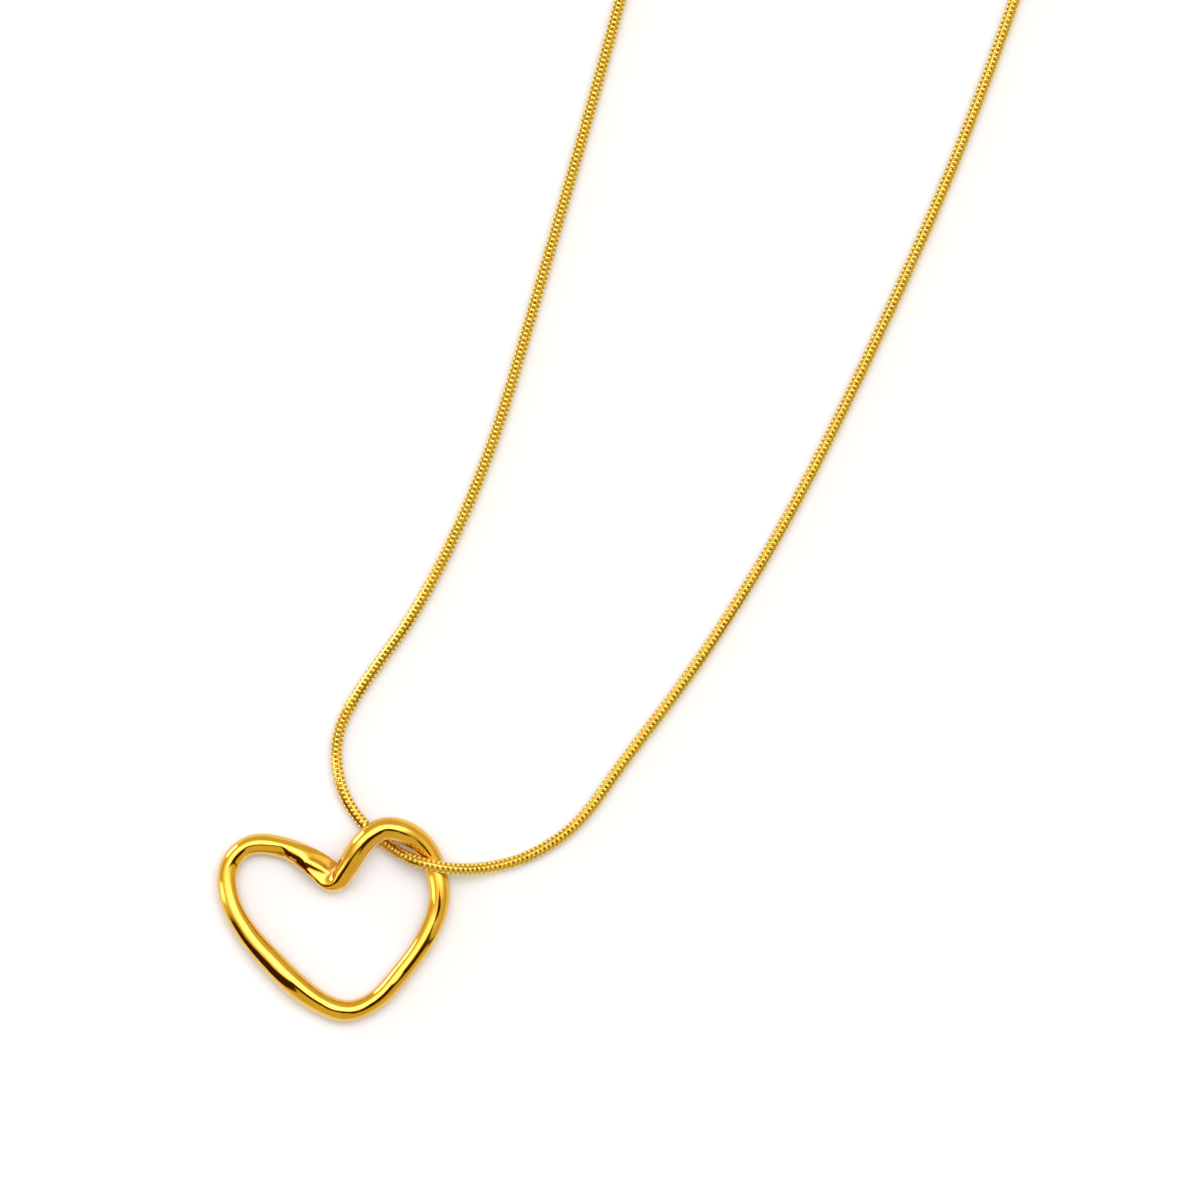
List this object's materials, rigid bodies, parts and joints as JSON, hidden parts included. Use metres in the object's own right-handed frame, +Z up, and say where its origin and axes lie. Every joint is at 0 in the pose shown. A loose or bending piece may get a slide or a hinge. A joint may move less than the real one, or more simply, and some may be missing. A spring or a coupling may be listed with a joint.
{
  "type": "heart pendant necklace",
  "caption": "Open heart of thick round wire threaded on a thin round snake chain, closed by a plain barrel clasp and laid flat.",
  "frame": {"origin": "bottom centre of the whole laid necklace, on the surface it lies on", "axes": "+Z up from the surface, +Y along the loop's long way from the heart to the clasp, +X to the right seen from above"},
  "size_m": [0.0518, 0.2184, 0.0037],
  "materials": {
    "heart_gold": "mirror polished yellow gold plate",
    "chain_gold": "polished yellow gold plate on fine woven links",
    "clasp_gold": "polished yellow gold plate"
  },
  "bodies": {
    "root": {"heart": "heart_gold", "chain": "chain_gold", "clasp": "clasp_gold"}
  },
  "joints": []
}
